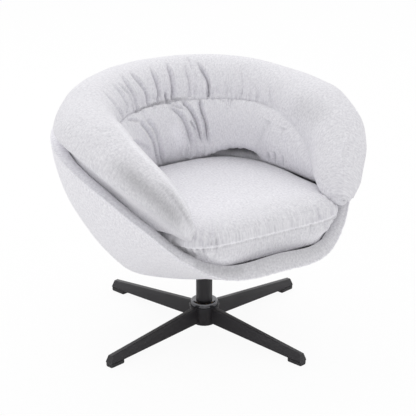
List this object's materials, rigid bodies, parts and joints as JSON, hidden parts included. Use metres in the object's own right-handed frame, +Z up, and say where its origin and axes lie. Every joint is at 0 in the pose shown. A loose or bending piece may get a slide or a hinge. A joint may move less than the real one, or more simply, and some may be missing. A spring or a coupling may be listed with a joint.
{
  "type": "swivel tub chair",
  "caption": "Upholstered swivel tub chair with a horseshoe back-and-arm roll and a loose seat cushion, turning on a column with straight flat feet.",
  "frame": {"origin": "on the floor at the axis on which the seat turns, the middle of the overall box", "axes": "+Z up, the sitter faces -Y, +X is the sitter's left"},
  "size_m": [0.8464, 0.756, 0.6974],
  "materials": {
    "linen_fabric": "very light cool grey woven linen-look cloth, matte",
    "dust_cloth": "black non-woven dust cloth",
    "seat_foam": "open-cell foam, shut in under the cloth",
    "satin_black_steel": "satin black powder coat",
    "polished_steel": "polished ring",
    "bearing_steel": "ground steel",
    "zinc_steel": "bright zinc plate",
    "black_plastic": "moulded matte plastic",
    "white_nylon": "natural nylon",
    "plywood": "bare birch plywood"
  },
  "bodies": {
    "base": {"base_hub": "satin_black_steel", "leg_1": "satin_black_steel", "leg_2": "satin_black_steel", "leg_3": "satin_black_steel", "leg_4": "satin_black_steel", "glide_1": "black_plastic", "glide_2": "black_plastic", "glide_3": "black_plastic", "glide_4": "black_plastic", "glide_screws": "zinc_steel", "hub_bottom_cap": "black_plastic", "column_tube": "satin_black_steel", "polished_collar": "polished_steel", "lower_bush": "white_nylon", "upper_bush": "white_nylon", "lower_race": "bearing_steel", "ball_cage": "white_nylon", "bearing_balls": "bearing_steel", "bearing_cover": "black_plastic"},
    "seat": {"upper_race": "bearing_steel", "spindle": "bearing_steel", "retaining_washer": "zinc_steel", "retaining_clip": "zinc_steel", "spindle_socket": "satin_black_steel", "spindle_pin": "zinc_steel", "seat_plate": "satin_black_steel", "plate_bolts": "zinc_steel", "plate_washers": "zinc_steel", "tee_nuts": "zinc_steel", "seat_deck": "plywood", "deck_screws": "zinc_steel", "shell_bucket": "plywood", "upholstered_shell": "linen_fabric", "dust_cover": "dust_cloth", "dust_cover_staples": "zinc_steel", "seat_foam": "seat_foam", "back_arm_roll": "linen_fabric", "seat_cushion": "linen_fabric"}
  },
  "joints": [
    {"name": "seat_swivel", "type": "hinge", "parent": "base", "child": "seat", "pos_m": [0, 0, 0.19], "axis": [0, 0, 1], "continuous": true}
  ]
}
